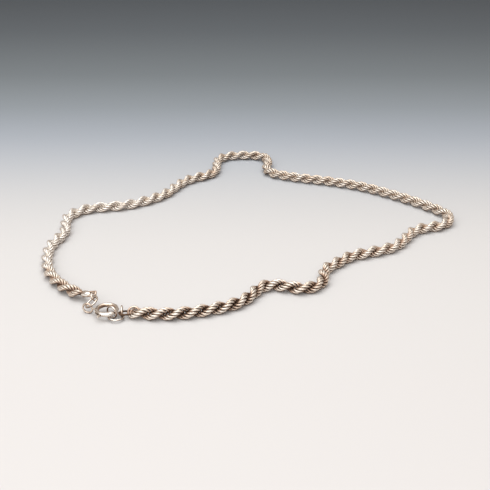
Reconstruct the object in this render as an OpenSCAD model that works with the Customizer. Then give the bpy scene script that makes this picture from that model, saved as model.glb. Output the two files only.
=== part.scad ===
// Rope chain necklace, closed with a spring ring clasp and lying flat in an open loop.
// Millimetres. +Z is up, the table is z = 0, and the clasp is at the front (towards -Y).

/* [Rope chain] */
// outside width of the rope of links
rope_width = 4; // [3.6:0.1:4]
// flat sides round the solid that stands for the rope
rope_sides = 12; // [12:2:16]
// how far the rope's left end is lifted by the rings hooked to it
left_end_lift = 1; // [0.8:0.1:1.2]

/* [Spring ring] */
// radius of the hollow ring, to the middle of its tube
ring_radius = 2.95; // [2.9:0.05:3]
// thickness of the hollow ring's tube
ring_tube = 1.3; // [1.2:0.05:1.4]
// height of the ring's middle above the table
ring_height = 2.15; // [2.1:0.05:2.3]
// clearance between the bolt and the bore it slides in
bolt_clearance = 0.05; // [0.02:0.01:0.08]
// thickness of the sliding bolt
bolt_thick = 0.9; // [0.7:0.05:0.9]
// direction of the eye, in degrees from +X
eye_angle = 165; // [160:1:170]

/* [Clasp bolt] */
// degrees by which the bolt slides back when the clasp is opened
bolt_travel = 50; // [40:1:50]
// direction of the thumb lever when the clasp is closed
lever_angle = 244; // [243:1:246]
// thickness of the thumb lever
lever_thick = 0.5; // [0.4:0.05:0.55]
// distance from the ring's middle to the lever's tip
lever_reach = 4.7; // [4.4:0.1:4.9]

/* [Rings and links] */
// wire of the ring that the bolt closes through
catch_wire = 0.5; // [0.4:0.05:0.5]
// radius of the catch ring, to the middle of its wire
catch_radius = 1.75; // [1.75:0.05:1.8]
// wire of the wide jump ring
jump_wire = 0.5; // [0.4:0.05:0.5]
// radius of the wide jump ring, to the middle of its wire
jump_radius = 2.25; // [2.2:0.05:2.25]
// wire of the end link beside the rope's right end
end_link_wire = 0.54; // [0.45:0.01:0.55]
// wire of the connecting ring between the eye and the left end
connect_wire = 0.56; // [0.45:0.01:0.56]
// wire of the small ring beside the rope's left end
left_ring_wire = 0.52; // [0.45:0.01:0.52]

/* [Hidden] */
$fn = 96;
// the loop's own middle is put over the origin by these two shifts
shift_x = 0;
shift_y = 0.18;
eps = 0.01;

// the way the rope lies, from the end at the clasp's right round to the left end
route = [
    [-39, -67.5], [-35, -68.5], [-30, -69], [-25, -69], [-20, -68], [-15, -66.5],
    [-10, -64.5], [-5.5, -61.5], [-2.5, -57.5], [0, -53], [3.5, -51], [8, -52],
    [12.5, -53.5], [16.5, -52.5], [19.5, -49.5], [20.5, -45], [21, -41], [23.5, -38],
    [27, -34.5], [30.5, -31], [35, -29], [40, -27], [45, -24.5], [49, -20.5],
    [52, -15.5], [55.5, -10.5], [60, -8], [65, -6.5], [69, -3], [70.5, 1.5],
    [68.5, 6.5], [65, 11], [61, 15.5], [56.5, 20], [51.5, 24.5], [46, 29],
    [40, 33], [33.5, 36], [27, 38.5], [20.5, 40.5], [14, 43], [8, 46],
    [5, 49.5], [4.5, 54.5], [5.5, 59.5], [5, 64.5], [2, 68], [-3, 69],
    [-8, 69], [-12.5, 67.5], [-15.5, 64.5], [-16.5, 60], [-16.5, 54.5], [-17, 49],
    [-20, 44.5], [-25, 41.5], [-29, 37.5], [-32, 32], [-34.5, 26], [-38.5, 20.5],
    [-44, 16], [-50, 12.5], [-56.5, 11], [-62.5, 9.5], [-67, 6], [-69.5, 1],
    [-69, -5], [-68, -11], [-69, -16.5], [-70.5, -22], [-70.5, -28], [-69.5, -34],
    [-68, -40], [-65.5, -45.5], [-62, -50.5], [-58.5, -54.5], [-55, -57], [-51.5, -59]
];
last = len(route) - 1;

// the last three points climb by these shares of the lift
lift_share = [0.1, 0.4, 1];

// half the width over the flats, and the radius to the corners that gives it
rope_half = rope_width / 2;
rope_corner = rope_half / cos(180 / rope_sides);

ring_centre = [-45, -66.9, ring_height];
tube_radius = ring_tube / 2;
bolt_radius = bolt_thick / 2;
bore_radius = bolt_radius + bolt_clearance;

// directions round the spring ring, in degrees from +X
gap_start = 303;
gap_end = 347;
socket_depth = 5;
bolt_tail = 238;
bolt_tip = 350;
bore_end = bolt_tail - bolt_travel - 3;

// the lever's slot is longer than its travel by this much at each end
slot_spare = 6;
slot_height = lever_thick + 0.12;
lever_head = lever_thick + 0.15;
lever_head_long = 0.5;

// the eye stands upright beyond the hollow ring, on a short neck
eye_wire = 0.56;
eye_radius = 1.47;
eye_reach = 6.1;
eye_height = eye_radius + eye_wire / 2;
neck_thick = 0.52;

// the catch ring stands upright across the gap
catch_angle = -35;
catch_reach = 2;
catch_height = catch_radius + catch_wire / 2;

// the wide jump ring lies almost level inside the catch ring and the end link
jump_centre = [-42.1, -68.85, 1];
jump_tilt = 1.7;

end_link_radius = 1.62;
end_link_centre = [-40.5, -67.45, end_link_radius + end_link_wire / 2];
end_link_turn = 6;

// the connecting ring leans, and the small left ring hangs in it
connect_radius = 2.1;
connect_centre = [-49.8, -64.15, 3.1];
connect_normal = [-0.57, -0.05, 0.82];
left_ring_radius = 1.2;
left_ring_centre = [-49.5, -61.55, 3.5];
left_ring_normal = [0.81, -0.18, 0.55];

function unit(v) = v / norm(v);
function height_at(i) =
    rope_half + (i > last - 3 ? left_end_lift * lift_share[i - last + 2] : 0);
function route_point(i) = [route[i][0], route[i][1], height_at(i)];
function route_heading(i) =
    unit(route_point(min(i + 1, last)) - route_point(max(i - 1, 0)));
function side_way(i) = unit(cross([0, 0, 1], route_heading(i)));
function up_way(i) = cross(route_heading(i), side_way(i));

// one corner of the rope's cross-section: corner k of the section at route point i
function section_corner(i, k) =
    let (a = (k + 0.5) * 360 / rope_sides)
    route_point(i) + rope_corner * (cos(a) * side_way(i) + sin(a) * up_way(i));

// places what follows so that its +Z looks along the given direction
module look_along(direction) {
    turn = atan2(direction[1], direction[0]);
    lean = acos(direction[2] / norm(direction));
    rotate([0, lean, turn])
        children();
}

module wire_ring(radius, wire) {
    rotate_extrude()
        translate([radius, 0])
            circle(r = wire / 2);
}

// a curved rod of round section between two directions, in degrees
module curved_rod(radius, rod_radius, from, to) {
    rotate([0, 0, from])
        rotate_extrude(angle = to - from)
            translate([radius, 0])
                circle(r = rod_radius);
}

// the rope of links as one smooth solid along its route
module rope_chain() {
    corners = [for (i = [0 : last]) for (k = [0 : rope_sides - 1]) section_corner(i, k)];
    sides = [
        for (i = [0 : last - 1]) for (k = [0 : rope_sides - 1])
            let (next = (k + 1) % rope_sides)
            [
                i * rope_sides + k,
                (i + 1) * rope_sides + k,
                (i + 1) * rope_sides + next,
                i * rope_sides + next
            ]
    ];
    first_cap = [for (k = [0 : rope_sides - 1]) k];
    last_cap = [for (k = [rope_sides - 1 : -1 : 0]) last * rope_sides + k];
    color("silver")
        polyhedron(points = corners, faces = concat(sides, [first_cap, last_cap]));
}

module end_link() {
    color("silver")
        translate(end_link_centre)
            rotate([0, 90, end_link_turn])
                wire_ring(end_link_radius, end_link_wire);
}

module jump_ring() {
    color("silver")
        translate(jump_centre)
            rotate([0, jump_tilt, 0])
                wire_ring(jump_radius, jump_wire);
}

module catch_ring() {
    color("silver")
        translate([ring_centre[0], ring_centre[1], catch_height])
            rotate([0, 0, catch_angle])
                translate([catch_reach, 0, 0])
                    rotate([90, 0, 0])
                        wire_ring(catch_radius, catch_wire);
}

// the neck slopes down from the hollow ring to the middle of the eye
module eye_and_neck() {
    drop = ring_height - eye_height;
    neck_from = ring_radius + tube_radius - 0.25;
    neck_to = eye_reach - eye_radius;
    rotate([0, 0, eye_angle]) {
        translate([eye_reach, 0, -drop])
            rotate([90, 0, 0])
                wire_ring(eye_radius, eye_wire);
        translate([neck_from, 0, -drop / 2])
            rotate([0, 90 + atan(0.6 * drop / (neck_to - neck_from)), 0])
                cylinder(h = neck_to - neck_from, r = neck_thick / 2);
    }
}

module spring_ring() {
    slot_from = lever_angle - bolt_travel - slot_spare;
    slot_to = lever_angle + slot_spare;
    color("gainsboro")
        translate(ring_centre) {
            difference() {
                curved_rod(ring_radius, tube_radius, gap_end - 360, gap_start);
                curved_rod(ring_radius, bore_radius, bore_end, gap_start + 2);
                curved_rod(ring_radius, bore_radius, gap_end - 2, gap_end + socket_depth);
                rotate([0, 0, slot_from])
                    rotate_extrude(angle = slot_to - slot_from)
                        translate([ring_radius + bore_radius / 2, -slot_height / 2])
                            square([tube_radius, slot_height]);
            }
            eye_and_neck();
        }
}

module clasp_bolt() {
    lever_from = ring_radius + bolt_radius / 2;
    color("gainsboro")
        translate(ring_centre) {
            curved_rod(ring_radius, bolt_radius, bolt_tail, bolt_tip);
            rotate([0, 0, lever_angle]) {
                translate([lever_from, 0, 0])
                    rotate([0, 90, 0])
                        cylinder(h = lever_reach - lever_from - eps, r = lever_thick / 2);
                translate([lever_reach - lever_head_long, 0, 0])
                    rotate([0, 90, 0])
                        cylinder(h = lever_head_long, r = lever_head / 2);
            }
        }
}

module connecting_ring() {
    color("silver")
        translate(connect_centre)
            look_along(connect_normal)
                wire_ring(connect_radius, connect_wire);
}

module left_end_ring() {
    color("silver")
        translate(left_ring_centre)
            look_along(left_ring_normal)
                wire_ring(left_ring_radius, left_ring_wire);
}

translate([shift_x, shift_y, 0]) {
    rope_chain();
    end_link();
    jump_ring();
    catch_ring();
    spring_ring();
    clasp_bolt();
    connecting_ring();
    left_end_ring();
}
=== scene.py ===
import bpy
from bisect import bisect_left
from math import cos, pi, radians, sin
from mathutils import Matrix, Vector


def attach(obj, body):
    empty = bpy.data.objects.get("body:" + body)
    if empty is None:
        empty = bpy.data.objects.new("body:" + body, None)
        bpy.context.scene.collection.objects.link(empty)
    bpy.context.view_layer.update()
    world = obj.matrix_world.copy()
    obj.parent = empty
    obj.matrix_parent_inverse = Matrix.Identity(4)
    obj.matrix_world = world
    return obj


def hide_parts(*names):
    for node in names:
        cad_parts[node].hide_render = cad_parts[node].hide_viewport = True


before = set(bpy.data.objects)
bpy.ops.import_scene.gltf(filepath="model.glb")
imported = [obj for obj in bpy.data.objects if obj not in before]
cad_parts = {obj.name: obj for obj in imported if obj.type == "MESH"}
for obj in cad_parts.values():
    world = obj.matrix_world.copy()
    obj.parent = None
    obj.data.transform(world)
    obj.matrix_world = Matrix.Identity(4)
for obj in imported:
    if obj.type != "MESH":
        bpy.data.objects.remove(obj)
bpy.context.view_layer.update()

# The view: a camera 125 mm above the table and in front of the clasp looks down 25.5 degrees onto
# the necklace. The photo is 490 pixels square and its lens is 840 pixels long.
PIXELS_ACROSS = 490
LENS_PIXELS = 840
SENSOR_WIDTH = 36
CAMERA_PLACE = (-0.0045, -0.2807, 0.1252)
CAMERA_DOWN = radians(25.5)
CAMERA_NEAREST = 0.005
camera_data = bpy.data.cameras.new("camera")
camera_data.sensor_width = SENSOR_WIDTH
camera_data.lens = SENSOR_WIDTH * LENS_PIXELS / PIXELS_ACROSS
camera_data.clip_start = CAMERA_NEAREST
camera = bpy.data.objects.new("camera", camera_data)
camera.location = CAMERA_PLACE
camera.rotation_euler = (pi / 2 - CAMERA_DOWN, 0, 0)
bpy.context.scene.collection.objects.link(camera)
bpy.context.scene.camera = camera
bpy.context.scene.view_settings.view_transform = "Standard"

# The table: a plain warm white sheet that falls into cool grey shade towards the back. The shade
# is in the sheet's own colour, by distance from the clasp side, so that it stays put in any view.
SHEET_SIZE = 6
SHEET_ROUGHNESS = 0.75
SHEET_SHADES = [
    # distance along +Y (m), colour
    (-0.60, (0.68, 0.67, 0.69)),
    (-0.10, (0.70, 0.72, 0.74)),
    (-0.02, (0.69, 0.71, 0.73)),
    (0.02, (0.62, 0.65, 0.68)),
    (0.06, (0.50, 0.55, 0.61)),
    (0.10, (0.38, 0.44, 0.52)),
    (0.15, (0.27, 0.32, 0.37)),
    (0.22, (0.18, 0.22, 0.25)),
    (0.35, (0.11, 0.14, 0.17)),
    (0.60, (0.07, 0.10, 0.13)),
]
sheet_near, sheet_far = SHEET_SHADES[0][0], SHEET_SHADES[-1][0]


def fill_ramp(node, stops):
    """Gives a colour ramp node its stops: first every place, and then the colours."""
    elements = node.color_ramp.elements
    while len(elements) < len(stops):
        elements.new(0.5)
    for element, (place, colour) in zip(elements, stops):
        element.position = place
    for element, (place, colour) in zip(elements, stops):
        element.color = (*colour, 1)


def ranged(tree, value, given, wanted=(0, 1)):
    """A value turned from the given range into the wanted one, and held between its ends."""
    node = tree.nodes.new("ShaderNodeMapRange")
    node.inputs["From Min"].default_value, node.inputs["From Max"].default_value = given
    node.inputs["To Min"].default_value, node.inputs["To Max"].default_value = wanted
    tree.links.new(value, node.inputs["Value"])
    return node.outputs["Result"]


bpy.ops.object.select_all(action="DESELECT")
bpy.ops.mesh.primitive_plane_add(size=SHEET_SIZE)
sheet = bpy.context.object
sheet.name = "table_sheet"
sheet_paper = bpy.data.materials.new("pale_sheet")
sheet_paper.use_nodes = True
tree = sheet_paper.node_tree
shader = tree.nodes["Principled BSDF"]
shader.inputs["Roughness"].default_value = SHEET_ROUGHNESS
place = tree.nodes.new("ShaderNodeTexCoord")
apart = tree.nodes.new("ShaderNodeSeparateXYZ")
tree.links.new(place.outputs["Object"], apart.inputs[0])
along = ranged(tree, apart.outputs["Y"], (sheet_near, sheet_far))
shades = tree.nodes.new("ShaderNodeValToRGB")
shades.color_ramp.interpolation = "B_SPLINE"
sheet_length = sheet_far - sheet_near
fill_ramp(shades, [((y - sheet_near) / sheet_length, colour) for y, colour in SHEET_SHADES])
tree.links.new(along, shades.inputs["Fac"])
tree.links.new(shades.outputs["Color"], shader.inputs["Base Color"])
sheet.data.materials.append(sheet_paper)

# The light: a wide soft panel above the camera's side, a smaller one overhead for the glints on the
# crests and the soft shadows, and a warm room that the metal mirrors in its shaded sides. Both
# panels face the middle of the necklace.
ROOM_COLOUR = (0.58, 0.47, 0.39, 1)
ROOM_STRENGTH = 0.66
PANELS = [
    # name, place (m), size (m), power (W), colour
    ("panel_front", (-0.14, -0.34, 0.52), 0.90, 4.2, (1.0, 0.985, 0.965)),
    ("panel_top", (-0.02, 0.06, 0.62), 0.60, 1.7, (1.0, 0.99, 0.975)),
]
surround = bpy.data.worlds.new("surround")
bpy.context.scene.world = surround
surround.use_nodes = True
room = surround.node_tree.nodes["Background"]
room.inputs["Color"].default_value = ROOM_COLOUR
room.inputs["Strength"].default_value = ROOM_STRENGTH
for name, spot, size, power, colour in PANELS:
    panel_data = bpy.data.lights.new(name, "AREA")
    panel_data.shape = "SQUARE"
    panel_data.size = size
    panel_data.energy = power
    panel_data.color = colour
    panel = bpy.data.objects.new(name, panel_data)
    panel.location = spot
    panel.rotation_euler = (-Vector(spot)).to_track_quat("-Z", "Y").to_euler()
    bpy.context.scene.collection.objects.link(panel)

# The rope: about 510 round links of silver wire, each standing along the rope and turned about it
# by an even share of a lobe from the one before, so that it passes through its neighbours and the
# outer arcs make two twisted strands. Left-hand lay. At each end a drawn-out link hooks on.
WIRE = 0.00070  # sizes are in metres where nothing else is said
WIRE_SIDES = 5
LINK_RADIUS = 0.00165  # to the middle of the wire
LINK_CORNERS = 14
LINK_STEP = 0.00082  # from one link to the next along the rope
LINK_REACH = 0.0014  # a link follows the route from this far behind it to this far ahead
ROPE_HALF = 0.002
STRAND_FLOOR = 0.00155  # nearer than this to the rope's middle, the film and painted shade begin
GAP_FLOOR = 0.00085  # and here it is full
DEPTH_SHARE, SIDE_SHARE = 0.7, 0.3  # what depth, and the side of a wire, add to the film and painted shade
LAY = -1  # left-hand
FIRST_TURN = radians(44)
LEFT_END_BARE = 0.0014  # left free of links for the soldered tail
END_WIRE = 0.0006
END_LINKS = [
    # middle (m), long way, axis through the hole, radius (m), stretch (m), film
    ((-0.03907, -0.06821, 0.00192), (-1, -0.14, 0), (0, 0, 1), 0.00105, 0.0021, 0.75),
    ((-0.05131, -0.05896, 0.00309), (75, -55, 36), (-58, -31, 75), 0.00080, 0.0043, 0.34),
]
ALONG = [
    # distance from the rope's right end (mm), length of one lobe (mm), film and painted shade in
    # the gaps, and film on the crests: the rope is wound a little tighter here and looser there,
    # the gaps are painted darkest a little way from the right end and lightest on the left run, and
    # the crest film changes along it too
    (0, 5.20, 0.55, 0.10),
    (5, 5.20, 0.60, 0.12),
    (8, 5.20, 1.00, 0.13),
    (30, 5.02, 0.98, 0.13),
    (60, 5.00, 0.82, 0.13),
    (90, 5.40, 0.60, 0.11),
    (125, 5.60, 0.40, 0.10),
    (155, 5.02, 0.28, 0.14),
    (200, 4.66, 0.25, 0.17),
    (240, 5.17, 0.24, 0.17),
    (285, 5.28, 0.24, 0.17),
    (310, 5.70, 0.18, 0.11),
    (360, 5.60, 0.05, 0.03),
    (395, 5.80, 0.15, 0.04),
    (415, 5.75, 0.75, 0.11),
]
ROUTE = [
    # the rope's middle line from its right end to its left end (mm), as in the CAD part
    (-39, -67.5), (-35, -68.5), (-30, -69), (-25, -69), (-20, -68), (-15, -66.5),
    (-10, -64.5), (-5.5, -61.5), (-2.5, -57.5), (0, -53), (3.5, -51), (8, -52),
    (12.5, -53.5), (16.5, -52.5), (19.5, -49.5), (20.5, -45), (21, -41), (23.5, -38),
    (27, -34.5), (30.5, -31), (35, -29), (40, -27), (45, -24.5), (49, -20.5),
    (52, -15.5), (55.5, -10.5), (60, -8), (65, -6.5), (69, -3), (70.5, 1.5),
    (68.5, 6.5), (65, 11), (61, 15.5), (56.5, 20), (51.5, 24.5), (46, 29),
    (40, 33), (33.5, 36), (27, 38.5), (20.5, 40.5), (14, 43), (8, 46),
    (5, 49.5), (4.5, 54.5), (5.5, 59.5), (5, 64.5), (2, 68), (-3, 69),
    (-8, 69), (-12.5, 67.5), (-15.5, 64.5), (-16.5, 60), (-16.5, 54.5), (-17, 49),
    (-20, 44.5), (-25, 41.5), (-29, 37.5), (-32, 32), (-34.5, 26), (-38.5, 20.5),
    (-44, 16), (-50, 12.5), (-56.5, 11), (-62.5, 9.5), (-67, 6), (-69.5, 1),
    (-69, -5), (-68, -11), (-69, -16.5), (-70.5, -22), (-70.5, -28), (-69.5, -34),
    (-68, -40), (-65.5, -45.5), (-62, -50.5), (-58.5, -54.5), (-55, -57), (-51.5, -59),
]
SHIFT_Y = 0.18  # puts the loop's own middle over the origin (mm)
LIFTS = [0.1, 0.4, 1.0]  # the rings hooked to its left end lift the last points (mm)
route = [Vector((x, y + SHIFT_Y, ROPE_HALF * 1000)) / 1000 for x, y in ROUTE]
for point, lift in zip(route[-len(LIFTS):], LIFTS):
    point.z += lift / 1000


def smooth_route(points, pieces=12):
    """The curve through the route's points, with the distance along it at each place."""
    ends = [2 * points[0] - points[1], *points, 2 * points[-1] - points[-2]]
    curve = []
    for a, b, c, d in zip(ends, ends[1:], ends[2:], ends[3:]):
        for k in range(pieces):
            t = k / pieces
            curve.append(
                0.5 * (2 * b + (c - a) * t + (2 * a - 5 * b + 4 * c - d) * t**2
                       + (3 * b - a - 3 * c + d) * t**3)
            )
    curve.append(points[-1].copy())
    run = [0.0]
    for a, b in zip(curve, curve[1:]):
        run.append(run[-1] + (b - a).length)
    return curve, run


def along_route(curve, run, distance):
    """The place at a distance along the curve."""
    k = max(1, bisect_left(run, distance))
    share = (distance - run[k - 1]) / (run[k] - run[k - 1])
    return curve[k - 1].lerp(curve[k], share)


def row_at(table, place):
    """The values in a table at a place, straight between its rows, without the first column."""
    for low, high in zip(table, table[1:]):
        if place <= high[0]:
            share = (place - low[0]) / (high[0] - low[0])
            return [a + (b - a) * share for a, b in zip(low[1:], high[1:])]
    return table[-1][1:]


def seat_of(middle, long_way, across):
    """The matrix that seats a link: its middle, its long way and the axis through its hole."""
    long_way = long_way.normalized()
    across = (across - across.dot(long_way) * long_way).normalized()
    seat = Matrix((long_way, across.cross(long_way), across)).transposed().to_4x4()
    seat.translation = middle
    return seat


def select_where(piece, wanted):
    """Enters edit mode with just those corners of the piece selected whose place is wanted."""
    bpy.ops.object.mode_set(mode="EDIT")
    bpy.ops.mesh.select_all(action="DESELECT")
    bpy.ops.object.mode_set(mode="OBJECT")
    for corner in piece.data.vertices:
        corner.select = wanted(corner.co)
    bpy.ops.object.mode_set(mode="EDIT")


def make_link(radius, wire, stretch, start=0):
    """One link of round wire about Z, its corners counted from the start, drawn out along X."""
    bpy.ops.object.select_all(action="DESELECT")
    bpy.ops.mesh.primitive_torus_add(
        major_radius=radius, minor_radius=wire / 2, major_segments=LINK_CORNERS,
        minor_segments=WIRE_SIDES, rotation=(0, 0, start),
    )
    bpy.ops.object.transform_apply()
    bpy.ops.object.shade_smooth()
    link = bpy.context.object
    for side in (-1, 1):
        select_where(link, lambda place: place.x * side > 0)
        bpy.ops.transform.translate(value=(side * stretch / 2, 0, 0))
    bpy.ops.object.mode_set(mode="OBJECT")
    return link


def lay_film_and_shade(link, amounts):
    """Writes how much film and painted shade lies on each corner of a link, for its material to
    read.
    """
    film_and_painted_light = link.data.attributes.new("film_and_painted_light", "FLOAT", "POINT")
    film_and_painted_light.data.foreach_set("value", amounts)


curve, run = smooth_route(route)
link_count = int((run[-1] - LEFT_END_BARE - 2 * ROPE_HALF) / LINK_STEP) + 1
pattern_link = make_link(LINK_RADIUS, WIRE, 0, pi / LINK_CORNERS)
# How hidden each point of a link is, from 0 on the outer face of a strand, which is rubbed bright,
# to 1 deep between the strands, where the tarnish stays and painted shade darkens it further. Faces
# of a wire that turn towards the rope's middle get painted shade too, and its sides a little.
hidden = []
for vertex in pattern_link.data.vertices:
    away = Vector((0, vertex.co.y, vertex.co.z))
    depth = min(1.0, max(0.0, (STRAND_FLOOR - away.length) / (STRAND_FLOOR - GAP_FLOOR)))
    side = (1 - vertex.normal.dot(away.normalized())) / 2
    hidden.append(DEPTH_SHARE * depth + SIDE_SHARE * side)
links = []
turn = FIRST_TURN
for k in range(link_count):
    here = ROPE_HALF + k * LINK_STEP
    ahead = along_route(curve, run, here + LINK_REACH)
    behind = along_route(curve, run, here - LINK_REACH)
    middle = (ahead + behind) / 2
    heading = (ahead - behind).normalized()
    sideways = Vector((0, 0, 1)).cross(heading).normalized()
    upward = heading.cross(sideways)
    lobe, gap_film_and_shade, crest_film = row_at(ALONG, here * 1000)
    outward = cos(turn) * sideways + sin(turn) * upward
    link = pattern_link.copy()
    link.data = pattern_link.data.copy()
    link.data.transform(seat_of(middle, heading, heading.cross(outward)))
    lay_film_and_shade(link, [crest_film + (gap_film_and_shade - crest_film) * h for h in hidden])
    turn += LAY * pi * LINK_STEP * 1000 / lobe
    bpy.context.scene.collection.objects.link(link)
    links.append(link)
bpy.data.objects.remove(pattern_link)
for middle, long_way, across, radius, stretch, end_film in END_LINKS:
    link = make_link(radius, END_WIRE, stretch)
    link.data.transform(seat_of(Vector(middle), Vector(long_way), Vector(across)))
    lay_film_and_shade(link, [end_film] * len(link.data.vertices))
    links.append(link)
bpy.ops.object.select_all(action="DESELECT")
for link in links:
    link.select_set(True)
bpy.context.view_layer.objects.active = links[0]
bpy.ops.object.join()
rope = bpy.context.object
rope.name = "rope_links"
rope.data.name = "rope_links"

# Old silver, shared by every piece: bright where it is rubbed, and brown where a film has grown.
# The film is thicker in patches and where the piece's own material asks for it, which in places is
# painted shade and painted reflection. Faces that look down get painted shade in the same brown.
# Dullness is added to the roughness that comes with the film.
SILVER_SOCKETS = [
    # name, way, kind
    ("Film and painted light", "INPUT", "NodeSocketFloat"),
    ("Dullness", "INPUT", "NodeSocketFloat"),
    ("Base Color", "OUTPUT", "NodeSocketColor"),
    ("Roughness", "OUTPUT", "NodeSocketFloat"),
    ("Normal", "OUTPUT", "NodeSocketVector"),
]
FILM_AND_PAINTED_LIGHT_COLOURS = [
    # film and painted light, colour
    (0.0, (0.95, 0.935, 0.91)),
    (0.10, (0.90, 0.87, 0.825)),
    (0.22, (0.86, 0.79, 0.70)),
    (0.40, (0.66, 0.51, 0.41)),
    (0.62, (0.21, 0.135, 0.095)),
    (1.0, (0.07, 0.045, 0.03)),
]
# Each range is followed by what it gives at its two ends: the noise of the patches, how far up a
# face looks, which gives the painted shade under each piece, and the film with its painted light,
# which gives roughness.
PATCH_NOISE, PATCH_FILM = (0.3, 0.7), (-0.10, 0.13)
DOWNWARD, DOWNWARD_SHADE = (0.1, -0.7), (0, 0.5)
FILM_SPAN, FILM_ROUGHNESS = (0, 0.7), (0.22, 0.50)
PATCH_SCALE, PATCH_DETAIL = 420, 3  # patches two or three millimetres wide
SCUFF_SCALE, SCUFF_DETAIL = 5200, 2  # scuffs a fifth of a millimetre wide
SCUFF_STRENGTH, SCUFF_DEPTH = 0.12, 0.00003


def summed(tree, first, second):
    """The sum of two values."""
    node = tree.nodes.new("ShaderNodeMath")
    node.operation = "ADD"
    tree.links.new(first, node.inputs[0])
    tree.links.new(second, node.inputs[1])
    return node.outputs[0]


def noise(tree, place, scale, detail):
    """Even noise at a place."""
    node = tree.nodes.new("ShaderNodeTexNoise")
    node.inputs["Scale"].default_value = scale
    node.inputs["Detail"].default_value = detail
    tree.links.new(place, node.inputs["Vector"])
    return node.outputs["Fac"]


worn_and_shaded_silver = bpy.data.node_groups.new("worn_and_shaded_silver", "ShaderNodeTree")
for name, way, kind in SILVER_SOCKETS:
    worn_and_shaded_silver.interface.new_socket(name, in_out=way, socket_type=kind)
given = worn_and_shaded_silver.nodes.new("NodeGroupInput")
result = worn_and_shaded_silver.nodes.new("NodeGroupOutput")
place = worn_and_shaded_silver.nodes.new("ShaderNodeTexCoord")
facing = worn_and_shaded_silver.nodes.new("ShaderNodeSeparateXYZ")
film_and_painted_light_colour = worn_and_shaded_silver.nodes.new("ShaderNodeValToRGB")
scuffs = worn_and_shaded_silver.nodes.new("ShaderNodeBump")
wires = worn_and_shaded_silver.links
patches = noise(worn_and_shaded_silver, place.outputs["Object"], PATCH_SCALE, PATCH_DETAIL)
patch_film = ranged(worn_and_shaded_silver, patches, PATCH_NOISE, PATCH_FILM)
wires.new(place.outputs["Normal"], facing.inputs[0])
# Painted shade: faces that look down get the film's brown, darker the further down they look.
downward_shade = ranged(worn_and_shaded_silver, facing.outputs["Z"], DOWNWARD, DOWNWARD_SHADE)
film_and_painted_light = summed(worn_and_shaded_silver, given.outputs["Film and painted light"], patch_film)
film_and_painted_light = summed(worn_and_shaded_silver, film_and_painted_light, downward_shade)
fill_ramp(film_and_painted_light_colour, FILM_AND_PAINTED_LIGHT_COLOURS)
wires.new(film_and_painted_light, film_and_painted_light_colour.inputs["Fac"])
film_roughness = ranged(worn_and_shaded_silver, film_and_painted_light, FILM_SPAN, FILM_ROUGHNESS)
roughness = summed(worn_and_shaded_silver, film_roughness, given.outputs["Dullness"])
height = noise(worn_and_shaded_silver, place.outputs["Object"], SCUFF_SCALE, SCUFF_DETAIL)
scuffs.inputs["Strength"].default_value = SCUFF_STRENGTH
scuffs.inputs["Distance"].default_value = SCUFF_DEPTH
wires.new(height, scuffs.inputs["Height"])
wires.new(film_and_painted_light_colour.outputs["Color"], result.inputs["Base Color"])
wires.new(roughness, result.inputs["Roughness"])
wires.new(scuffs.outputs["Normal"], result.inputs["Normal"])


def silver(name):
    """A metal material made of the worn and shaded silver, and the group node that takes its film
    and painted light.
    """
    material = bpy.data.materials.new(name)
    material.use_nodes = True
    tree = material.node_tree
    shader = tree.nodes["Principled BSDF"]
    shader.inputs["Metallic"].default_value = 1.0
    silver_group = tree.nodes.new("ShaderNodeGroup")
    silver_group.node_tree = worn_and_shaded_silver
    for output in ("Base Color", "Roughness", "Normal"):
        tree.links.new(silver_group.outputs[output], shader.inputs[output])
    return material, silver_group


ROPE_DULLNESS = 0.20
rope_silver, silver_group = silver("rope_silver")
tree = rope_silver.node_tree
film_and_painted_light = tree.nodes.new("ShaderNodeAttribute")
film_and_painted_light.attribute_name = "film_and_painted_light"
tree.links.new(film_and_painted_light.outputs["Fac"], silver_group.inputs["Film and painted light"])
silver_group.inputs["Dullness"].default_value = ROPE_DULLNESS
rope.data.materials.append(rope_silver)
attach(rope, "necklace")
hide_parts("rope_chain")

# The soldered tail: a smooth lump of silver solder that closes the last links of the rope's left
# end round the drawn-out link. It was run in hot, so it is bright and slightly uneven.
TAIL_MIDDLE = (-0.05265, -0.05820, 0.00274)
TAIL_WAY = (0.86, -0.49, 0.15)
TAIL_HALF = (0.00148, 0.00070, 0.00066)  # half its length, width and height, as it is started
TAIL_BELLY = (1, 1.06, 1.04)  # fuller round its middle
TAIL_TIP = (1, 0.84, 0.86)  # thinner where it meets the rope
TAIL_HUMP = (0, 0.00006, 0.00010)  # one upper edge stands higher
TAIL_ROUNDS = 2  # levels of rounding
TAIL_FILM = 0.04
bpy.ops.object.select_all(action="DESELECT")
bpy.ops.mesh.primitive_cube_add(size=2)
tail = bpy.context.object
tail.name = "soldered_tail"
bpy.ops.object.mode_set(mode="EDIT")
bpy.ops.mesh.subdivide(number_cuts=1, smoothness=1)
bpy.ops.transform.resize(value=TAIL_HALF)
select_where(tail, lambda place: abs(place.x) < TAIL_HALF[0] / 2)
bpy.ops.transform.resize(value=TAIL_BELLY)
select_where(tail, lambda place: place.x < -TAIL_HALF[0] / 2)
bpy.ops.transform.resize(value=TAIL_TIP)
select_where(tail, lambda place: place.y > 0 and place.z > 0)
bpy.ops.transform.translate(value=TAIL_HUMP)
bpy.ops.object.mode_set(mode="OBJECT")
rounding = tail.modifiers.new("rounding", "SUBSURF")
rounding.levels = TAIL_ROUNDS
rounding.render_levels = TAIL_ROUNDS
bpy.ops.object.modifier_apply(modifier=rounding.name)
bpy.ops.object.shade_smooth()
tail.data.transform(seat_of(Vector(TAIL_MIDDLE), Vector(TAIL_WAY), Vector((0, 0, 1))))
tail_silver, silver_group = silver("tail_silver")
silver_group.inputs["Film and painted light"].default_value = TAIL_FILM
tail.data.materials.append(tail_silver)
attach(tail, "necklace")

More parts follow.
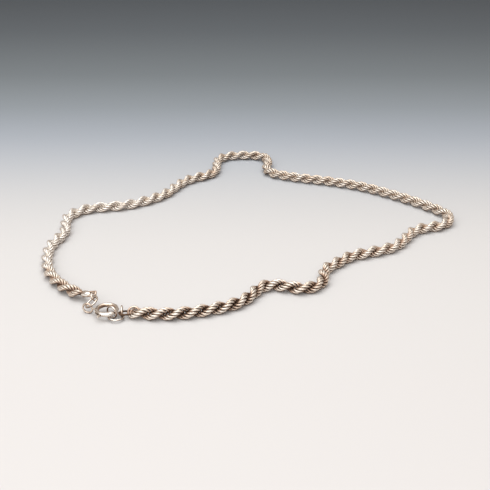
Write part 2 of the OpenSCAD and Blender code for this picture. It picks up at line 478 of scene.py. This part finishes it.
# The plain rings: the upright link beside the rope, the wide ring that hangs in it, the ring that
# the clasp catches, the leaning ring and the small ring at the left. Round drawn silver wire, cut,
# closed and soldered. A thin warm film on top, and painted shade in the film's brown that darkens
# down their sides.
PLAIN_RINGS = ("end_link", "jump_ring", "catch_ring", "connecting_ring", "left_end_ring")
SIDE_SLOPE, SIDE_FILM_AND_SHADE = (0.65, -0.1), (0.10, 0.55)  # by how far up a face looks


def dress(node_name, material):
    """Gives a CAD node its one material."""
    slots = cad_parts[node_name].data.materials
    slots.clear()
    slots.append(material)


plain_silver, silver_group = silver("plain_silver")
tree = plain_silver.node_tree
place = tree.nodes.new("ShaderNodeTexCoord")
facing = tree.nodes.new("ShaderNodeSeparateXYZ")
tree.links.new(place.outputs["Normal"], facing.inputs[0])
# Painted shade: each ring is lighter on top and darker down its sides.
side_film_and_shade = ranged(tree, facing.outputs["Z"], SIDE_SLOPE, SIDE_FILM_AND_SHADE)
tree.links.new(side_film_and_shade, silver_group.inputs["Film and painted light"])
for name in PLAIN_RINGS:
    dress(name, plain_silver)

# The spring ring: a hollow ring bent from silver tube, with a soldered neck and eye. Its outside is
# rubbed bright. Its inner wall carries a painted warm reflection in the film's brown, and the eye
# is warmer and darker.
RING_CENTRE = (-0.045, -0.06672, 0)
WALLS, WALL_FILM_AND_REFLECTION = (0.0023, 0.0028), (0.48, 0.02)  # from the inner wall to the outer one
NECK_TO_EYE, EYE_FILM = (0.0038, 0.0046), (0, 0.24)
hollow_silver, silver_group = silver("hollow_silver")
tree = hollow_silver.node_tree
place = tree.nodes.new("ShaderNodeTexCoord")
offset = tree.nodes.new("ShaderNodeVectorMath")
offset.operation = "SUBTRACT"
offset.inputs[1].default_value = RING_CENTRE
level = tree.nodes.new("ShaderNodeVectorMath")
level.operation = "MULTIPLY"
level.inputs[1].default_value = (1, 1, 0)
radius = tree.nodes.new("ShaderNodeVectorMath")
radius.operation = "LENGTH"
tree.links.new(place.outputs["Object"], offset.inputs[0])
tree.links.new(offset.outputs["Vector"], level.inputs[0])
tree.links.new(level.outputs["Vector"], radius.inputs[0])
# Painted warm reflection: the inner wall is brown, and the outer wall is nearly clean.
wall_film_and_reflection = ranged(tree, radius.outputs["Value"], WALLS, WALL_FILM_AND_REFLECTION)
eye_film = ranged(tree, radius.outputs["Value"], NECK_TO_EYE, EYE_FILM)
tree.links.new(summed(tree, wall_film_and_reflection, eye_film), silver_group.inputs["Film and painted light"])
dress("spring_ring", hollow_silver)

# The bolt: a silver rod that slides inside the hollow ring, with the thumb lever that draws it
# back. It slides against the tube, so its film is a little browner than the ring's.
BOLT_FILM = 0.12
bolt_silver, silver_group = silver("bolt_silver")
silver_group.inputs["Film and painted light"].default_value = BOLT_FILM
dress("clasp_bolt", bolt_silver)
